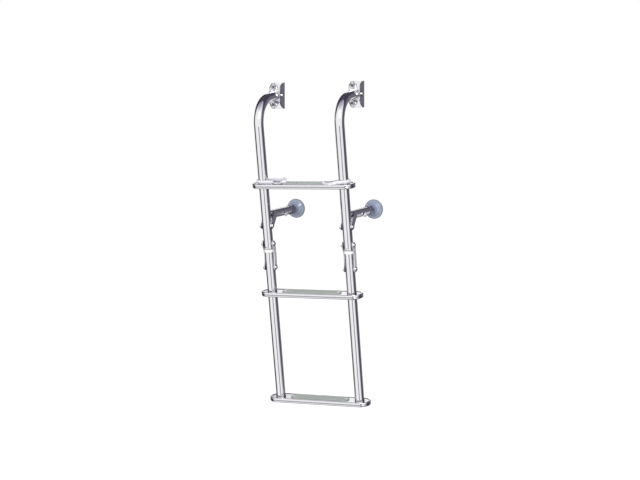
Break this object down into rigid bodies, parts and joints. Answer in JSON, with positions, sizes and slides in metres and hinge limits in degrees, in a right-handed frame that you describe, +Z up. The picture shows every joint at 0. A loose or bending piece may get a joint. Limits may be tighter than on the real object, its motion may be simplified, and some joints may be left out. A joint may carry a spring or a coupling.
{
  "type": "folding swim ladder",
  "caption": "Folding boarding ladder of polished tube: hinged wall brackets, flat grip treads, a folding joint at mid height and padded arms that hold it off the hull.",
  "frame": {"origin": "middle of the left bracket's flat back face", "axes": "+X across to the right bracket, +Y into the hull, square to the brackets' back faces, +Z up"},
  "size_m": [0.29, 0.2458, 0.8556],
  "materials": {
    "stainless": "mirror polished stainless steel",
    "rubber": "moulded blue-grey rubber",
    "grip": "ribbed grey rubber",
    "nylon": "natural nylon",
    "vinyl": "pale translucent vinyl"
  },
  "bodies": {
    "brackets": {"left_bracket": "stainless", "left_bracket_bolt": "stainless", "right_bracket": "stainless", "right_bracket_bolt": "stainless"},
    "upper_section": {"left_upper_rail": "stainless", "left_hinge_plug": "nylon", "left_strap": "vinyl", "right_upper_rail": "stainless", "right_hinge_plug": "nylon", "right_strap": "vinyl", "top_tread": "stainless", "top_tread_insert": "grip"},
    "hinge_links": {"left_outer_link": "stainless", "left_inner_link": "stainless", "left_upper_hinge_bolt": "stainless", "left_lower_hinge_bolt": "stainless", "right_outer_link": "stainless", "right_inner_link": "stainless", "right_upper_hinge_bolt": "stainless", "right_lower_hinge_bolt": "stainless"},
    "lower_section": {"left_lower_rail": "stainless", "left_hinge_spacer": "nylon", "left_rail_end_plug": "nylon", "right_lower_rail": "stainless", "right_hinge_spacer": "nylon", "right_rail_end_plug": "nylon", "middle_tread": "stainless", "middle_tread_insert": "grip", "bottom_tread": "stainless", "bottom_tread_insert": "grip"},
    "left_standoff": {"left_standoff_fork": "stainless", "left_standoff_arm": "stainless", "left_standoff_pad": "rubber", "left_standoff_thumbscrew": "stainless", "left_standoff_bolt": "stainless"},
    "right_standoff": {"right_standoff_fork": "stainless", "right_standoff_arm": "stainless", "right_standoff_pad": "rubber", "right_standoff_thumbscrew": "stainless", "right_standoff_bolt": "stainless"}
  },
  "joints": [
    {"name": "ladder_swing", "type": "hinge", "parent": "brackets", "child": "upper_section", "pos_m": [0, -0.018, 0], "axis": [-1, 0, 0], "range_deg": [0, 100]},
    {"name": "link_fold", "type": "hinge", "parent": "upper_section", "child": "hinge_links", "pos_m": [0, -0.06806, -0.39198], "axis": [-1, 0, 0], "range_deg": [0, 90]},
    {"name": "section_fold", "type": "hinge", "parent": "hinge_links", "child": "lower_section", "pos_m": [0, -0.05651, -0.45493], "axis": [-1, 0, 0], "range_deg": [0, 90]},
    {"name": "left_standoff_fold", "type": "hinge", "parent": "upper_section", "child": "left_standoff", "pos_m": [0, -0.07673, -0.34477], "axis": [-1, 0, 0], "range_deg": [0, 70]},
    {"name": "right_standoff_fold", "type": "hinge", "parent": "upper_section", "child": "right_standoff", "pos_m": [0.23, -0.07673, -0.34477], "axis": [-1, 0, 0], "range_deg": [0, 70]}
  ]
}
